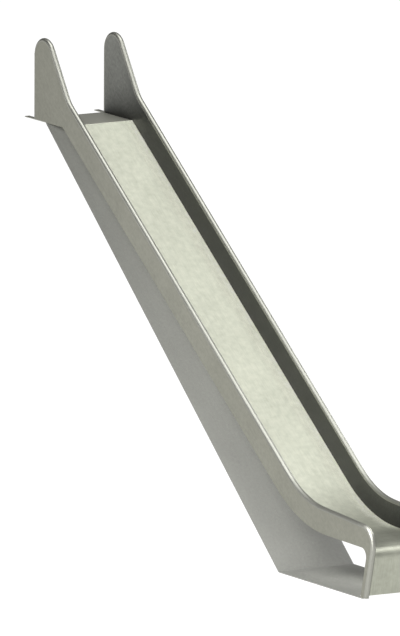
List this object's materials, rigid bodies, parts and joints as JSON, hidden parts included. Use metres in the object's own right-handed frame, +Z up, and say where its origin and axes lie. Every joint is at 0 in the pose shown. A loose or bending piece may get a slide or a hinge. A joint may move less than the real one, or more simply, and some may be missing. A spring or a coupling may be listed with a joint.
{
  "type": "embankment slide",
  "caption": "Straight playground slide in stainless steel sheet for an embankment, with box cheeks that rise to rounded ears at the top, a nearly level run-out and a folded base plate.",
  "frame": {"origin": "middle of the ground plate's underside", "axes": "+X runs down the slide towards its run-out, +Z is up and Y = 0 is the plane of symmetry"},
  "size_m": [4.4995, 0.556, 3.0457],
  "materials": {
    "satin_steel": "satin stainless steel sheet of the cheeks",
    "sliding_steel": "finely ground stainless steel sheet that people slide on",
    "rim_steel": "polished satin stainless steel of the rounded rims",
    "plate_steel": "plain rolled stainless steel plate of platform, lugs and base"
  },
  "bodies": {
    "root": {"base_slope_plate": "plate_steel", "bed_sheet": "sliding_steel", "front_plate": "sliding_steel", "ground_plate": "plate_steel", "left_ear_edge_strip": "satin_steel", "left_ear_inner_skin": "satin_steel", "left_ear_outer_skin": "satin_steel", "left_ear_rim": "rim_steel", "left_fixing_lug": "plate_steel", "left_foot_cap": "plate_steel", "left_leg_edge_strip": "satin_steel", "left_leg_inner_skin": "satin_steel", "left_leg_outer_skin": "satin_steel", "left_leg_rim": "rim_steel", "left_runout_edge_strip": "satin_steel", "left_runout_inner_skin": "satin_steel", "left_runout_outer_skin": "satin_steel", "left_runout_rim": "rim_steel", "left_slope_edge_strip": "satin_steel", "left_slope_inner_skin": "satin_steel", "left_slope_outer_skin": "satin_steel", "left_slope_rim": "rim_steel", "nose_roll": "sliding_steel", "platform_plate": "plate_steel", "right_ear_edge_strip": "satin_steel", "right_ear_inner_skin": "satin_steel", "right_ear_outer_skin": "satin_steel", "right_ear_rim": "rim_steel", "right_fixing_lug": "plate_steel", "right_foot_cap": "plate_steel", "right_leg_edge_strip": "satin_steel", "right_leg_inner_skin": "satin_steel", "right_leg_outer_skin": "satin_steel", "right_leg_rim": "rim_steel", "right_runout_edge_strip": "satin_steel", "right_runout_inner_skin": "satin_steel", "right_runout_outer_skin": "satin_steel", "right_runout_rim": "rim_steel", "right_slope_edge_strip": "satin_steel", "right_slope_inner_skin": "satin_steel", "right_slope_outer_skin": "satin_steel", "right_slope_rim": "rim_steel", "runout_sheet": "sliding_steel"}
  },
  "joints": []
}
